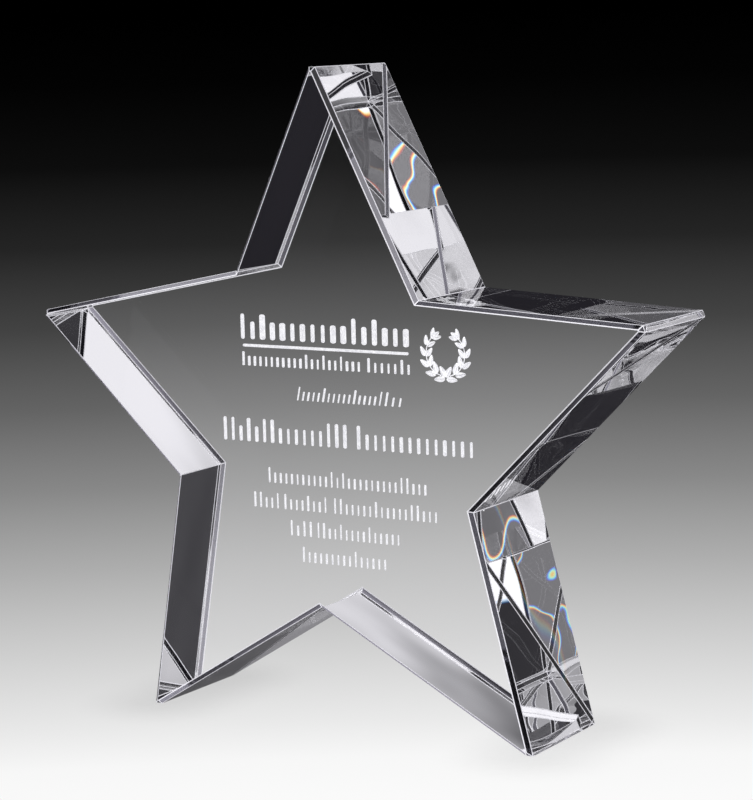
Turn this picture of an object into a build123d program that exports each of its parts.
"""Star award: a thick five-pointed star of clear optical crystal with frosted marks inside it.

The star stands on its two lower tips. Millimetres, +Z up, the front face looks along -Y, and the
origin is on the resting surface, under the middle of the block.
"""

import math
import os

from build123d import *

# Crystal block
thickness = 30.0  # front face to back face
edge_bevel = 0.9  # polished 45 degree bevel round both faces
tip_flat = 1.5  # width of the flat ground on each free tip
foot_flat = 1.7  # width of the flat that each lower tip stands on
centre_height = 64.7  # middle of the star above the resting surface

# The block is cut and polished by hand, so no two arms are quite alike. Going clockwise from the
# top arm: how far each tip and each notch after it lies from the middle of the star, and how many
# degrees it is turned anticlockwise from its place on a regular star.
tip_reach = [78.5, 80.5, 81.0, 80.0, 78.5]
tip_turn = [0.5, 1.0, 1.0, 0.0, 0.5]
notch_reach = [38.5, 39.0, 38.0, 40.5, 41.0]
notch_turn = [-3.0, -3.0, -3.0, -1.5, -4.0]
lower_arms = [2, 3]
arm_spacing = 72.0

# Frosted marks, in the middle of the thickness. Each line is a row of word-long plates, given by
# where each plate starts and ends to the right of the middle of the star, the height of the foot
# of the line above that middle, and the height of its plates.
frost_depth = 0.4
frost_corner = 0.3
rule_height = 0.6
headline = [(-26.0, 16.0)]
headline_foot = 18.8
headline_height = 4.2
headline_rule = [(-26.0, 16.5)]
headline_rule_foot = 17.1
second_line = [(-26.0, 4.0), (6.5, 16.5)]
second_line_foot = 12.9
second_line_height = 2.4
presentation_line = [(-12.0, 9.0), (10.5, 14.0)]
presentation_line_foot = 5.8
presentation_line_height = 2.2
name_line = [(-31.5, 0.0), (3.5, 31.5)]
name_line_foot = -4.1
name_line_height = 3.8
message_lines = [
    [(-20.0, 20.0)],
    [(-24.0, -18.0), (-16.0, -5.5), (-3.0, 22.5)],
    [(-14.5, -9.5), (-7.5, 13.0)],
    [(-11.5, 9.5)],
]
message_foot = -13.0
message_pitch = 5.75
message_height = 2.3

# Emblem: a wreath of leaves
emblem_offset = 25.6  # to the right of the middle of the star
emblem_height = 17.5  # above the middle of the star
wreath_radius = 4.7
wreath_gap = 36.0  # degrees left open at the top
leaf_length = 2.3
leaf_width = 0.9
leaf_lean = 32.0  # degrees that a leaf turns off the branch's own curve
leaf_standoff = 0.85  # how far a leaf's middle is from the line of its branch
leaf_pairs = 6  # on each branch


def polar_point(reach, bearing):
    """The point that far from the middle of the star, at that bearing from +X."""
    return Vector(reach * math.cos(math.radians(bearing)), reach * math.sin(math.radians(bearing)))


def star_outline():
    """The star's corners, clockwise from the top tip, about the middle of the star."""
    corners = []
    for arm in range(5):
        bearing = 90 - arm * arm_spacing + tip_turn[arm]
        tip = polar_point(tip_reach[arm], bearing)
        if arm in lower_arms:
            tip = Vector(tip.X, -centre_height)
            half_flat = Vector(foot_flat / 2, 0)
        else:
            half_flat = polar_point(tip_flat / 2, bearing + 90)
        corners += [tip + half_flat, tip - half_flat]
        notch_bearing = 90 - (arm + 0.5) * arm_spacing + notch_turn[arm]
        corners.append(polar_point(notch_reach[arm], notch_bearing))
    return corners


outline = star_outline()
side_shift = -(min(corner.X for corner in outline) + max(corner.X for corner in outline)) / 2
middle_plane = Plane(origin=(side_shift, 0, centre_height), x_dir=(1, 0, 0), z_dir=(0, -1, 0))


def frosted_line(words, foot, height):
    """One line of frost, with a thin round-cornered plate for each word."""
    with BuildPart() as line:
        with BuildSketch(middle_plane):
            for start, end in words:
                with Locations(((start + end) / 2, foot + height / 2)):
                    RectangleRounded(end - start, height, min(frost_corner, height * 0.45))
        extrude(amount=frost_depth / 2, both=True)
    return line.part


def frosted_wreath():
    """Two branches of thin leaves in pairs, which meet at the bottom and stay open at the top."""
    middle = Vector(emblem_offset, emblem_height)
    pair_angle = (180 - wreath_gap / 2) / leaf_pairs
    with BuildPart() as wreath:
        with BuildSketch(middle_plane):
            for branch in (-1, 1):
                for pair in range(leaf_pairs):
                    bearing = -90 + branch * pair_angle * (pair + 0.5)
                    for side in (-1, 1):
                        centre = middle + polar_point(wreath_radius + side * leaf_standoff, bearing)
                        turn = bearing + 90 - branch * side * leaf_lean
                        with Locations(Location((centre.X, centre.Y), turn)):
                            Ellipse(leaf_length / 2, leaf_width / 2)
        extrude(amount=frost_depth / 2, both=True)
    return wreath.part


marks = {
    "headline_frost": frosted_line(headline, headline_foot, headline_height),
    "headline_rule_frost": frosted_line(headline_rule, headline_rule_foot, rule_height),
    "second_line_frost": frosted_line(second_line, second_line_foot, second_line_height),
    "emblem_frost": frosted_wreath(),
    "presentation_line_frost": frosted_line(
        presentation_line, presentation_line_foot, presentation_line_height
    ),
    "name_line_frost": frosted_line(name_line, name_line_foot, name_line_height),
}
for row, words in enumerate(message_lines):
    name = f"message_line_{row + 1}_frost"
    marks[name] = frosted_line(words, message_foot - row * message_pitch, message_height)

# The clear crystal: the star, bevelled front and back, without the volumes that are frosted.
with BuildPart() as star_block:
    with BuildSketch(middle_plane):
        with BuildLine():
            Polyline(*outline, close=True)
        make_face()
    extrude(amount=thickness / 2, both=True)
    chamfer(star_block.faces().filter_by(Axis.Y).edges(), edge_bevel)
    for mark in marks.values():
        add(mark, mode=Mode.SUBTRACT)
star_block.part.label = "star_block"

os.makedirs("parts", exist_ok=True)
export_step(star_block.part, "parts/star_block.step")
for name, mark in marks.items():
    mark.label = name
    export_step(mark, f"parts/{name}.step")

box = star_block.part.bounding_box()
print(f"star_block {box.size.X:.2f} x {box.size.Y:.2f} x {box.size.Z:.2f} mm")
print(f"volume {star_block.part.volume / 1000:.1f} cm3")
for arm in lower_arms:
    foot = (outline[3 * arm] + outline[3 * arm + 1]) / 2
    print(f"foot flat of arm {arm} at x {foot.X + side_shift:.2f} mm")
